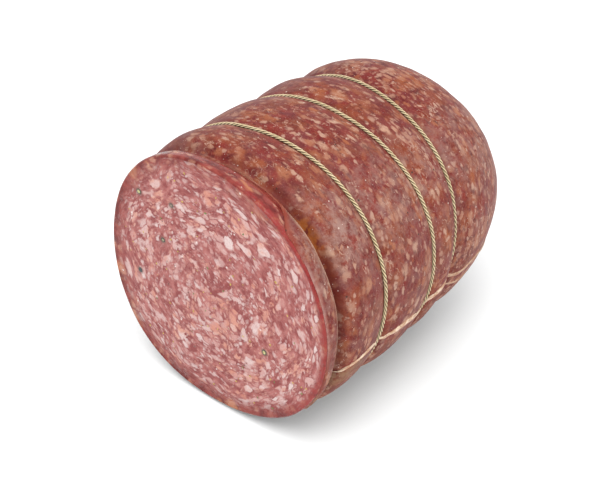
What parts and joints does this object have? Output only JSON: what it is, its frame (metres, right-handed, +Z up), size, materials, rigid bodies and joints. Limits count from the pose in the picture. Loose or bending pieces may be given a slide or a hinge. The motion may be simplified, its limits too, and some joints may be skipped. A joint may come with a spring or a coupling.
{
  "type": "cured sausage, cut in half",
  "caption": "Half of a thick cured sausage with a flat cut face, a mottled natural casing, twine hoops and a tied, rounded end.",
  "frame": {"origin": "on the ground under the sausage's axis, halfway along its length", "axes": "+Y along the sausage from the cut face to the tied end, +Z up, +X to the right as seen from the cut face"},
  "size_m": [0.1758, 0.237, 0.1699],
  "materials": {
    "cured_meat": "moist satin, marbled with pale fat",
    "natural_casing": "satin, translucent, with a dusty bloom",
    "twine": "matt, two-ply twisted",
    "spice": "matt, pale inside"
  },
  "bodies": {
    "root": {"meat_filling": "cured_meat", "casing": "natural_casing", "twine_hoop_1": "twine", "twine_hoop_2": "twine", "twine_hoop_3": "twine", "end_tie": "twine", "peppercorn_1": "spice", "peppercorn_2": "spice", "peppercorn_3": "spice", "peppercorn_4": "spice", "peppercorn_5": "spice"}
  },
  "joints": []
}
